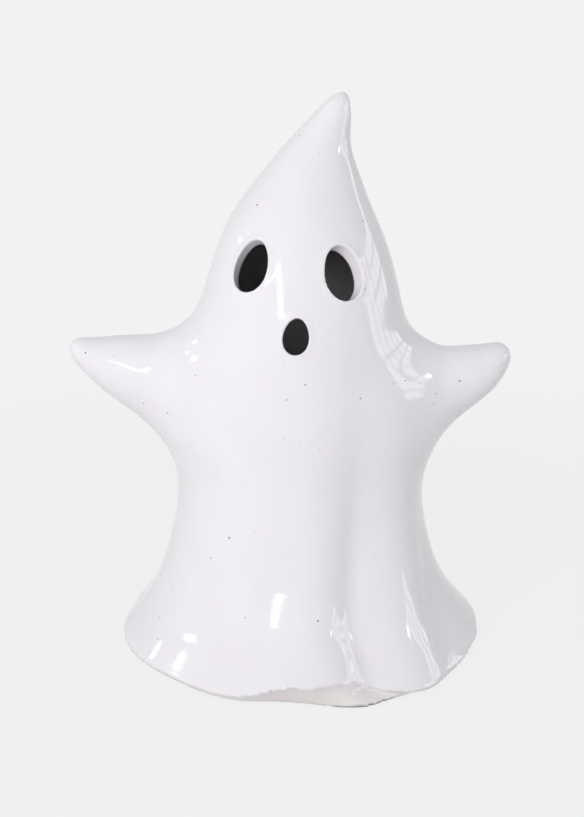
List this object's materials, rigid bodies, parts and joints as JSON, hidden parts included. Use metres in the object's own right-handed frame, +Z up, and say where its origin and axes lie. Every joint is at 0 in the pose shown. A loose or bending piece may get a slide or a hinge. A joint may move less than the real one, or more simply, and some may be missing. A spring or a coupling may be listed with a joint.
{
  "type": "ceramic ghost figure",
  "caption": "Hollow glazed ceramic ghost with a bent pointed head, raised arms, pierced eyes and mouth and a flared skirt, with a battery light that plugs into its foot.",
  "frame": {"origin": "on the table midway between the arm tips, at the middle of the depth", "axes": "+Z up, -Y the way the face looks, +X to the viewer's right when facing the ghost"},
  "size_m": [0.1806, 0.1517, 0.2295],
  "materials": {
    "glaze": "glossy white glaze with sparse fine dark specks",
    "felt": "pressed felt",
    "case_plastic": "fine matt white",
    "silicone": "soft grey silicone",
    "cell_jacket": "plain printed metal jacket",
    "contact_metal": "nickel plated",
    "screw_steel": "zinc plated",
    "board_green": "solder mask",
    "lens": "clear warm epoxy",
    "black_plastic": "moulded black",
    "resistor_body": "painted ceramic film",
    "frosted": "frosted",
    "red_sheath": "soft sheath",
    "black_sheath": "soft sheath",
    "yellow_sheath": "soft sheath"
  },
  "bodies": {
    "ghost": {"ghost_shell": "glaze", "felt_dots": "felt"},
    "light_plug": {"light_case": "case_plastic", "lamp_plate": "case_plastic", "grip_ring": "silicone", "cell_1": "cell_jacket", "cell_2": "cell_jacket", "cell_3": "cell_jacket", "negative_terminal": "contact_metal", "positive_terminal": "contact_metal", "link_plate_left": "contact_metal", "link_plate_right": "contact_metal", "contact_spring_1": "contact_metal", "contact_spring_2": "contact_metal", "contact_spring_3": "contact_metal", "led_leads": "contact_metal", "board_screws": "screw_steel", "lamp_plate_screws": "screw_steel", "circuit_board": "board_green", "led_lenses": "lens", "timer_chip": "black_plastic", "switch_body": "black_plastic", "resistor": "resistor_body", "diffuser_dome": "frosted", "red_wire": "red_sheath", "black_wire": "black_sheath", "switch_wires": "yellow_sheath"},
    "battery_door": {"battery_door": "case_plastic"},
    "switch_knob": {"switch_knob": "black_plastic"}
  },
  "joints": [
    {"name": "light_pull", "type": "slide", "parent": "ghost", "child": "light_plug", "axis": [0, 0, -1], "range_m": [0, 0.06]},
    {"name": "door_swing", "type": "hinge", "parent": "light_plug", "child": "battery_door", "pos_m": [0.0041, -0.02005, 0.0039], "axis": [-1, 0, 0], "range_deg": [0, 100]},
    {"name": "switch_slide", "type": "slide", "parent": "light_plug", "child": "switch_knob", "axis": [1, 0, 0], "range_m": [0, 0.003]}
  ]
}
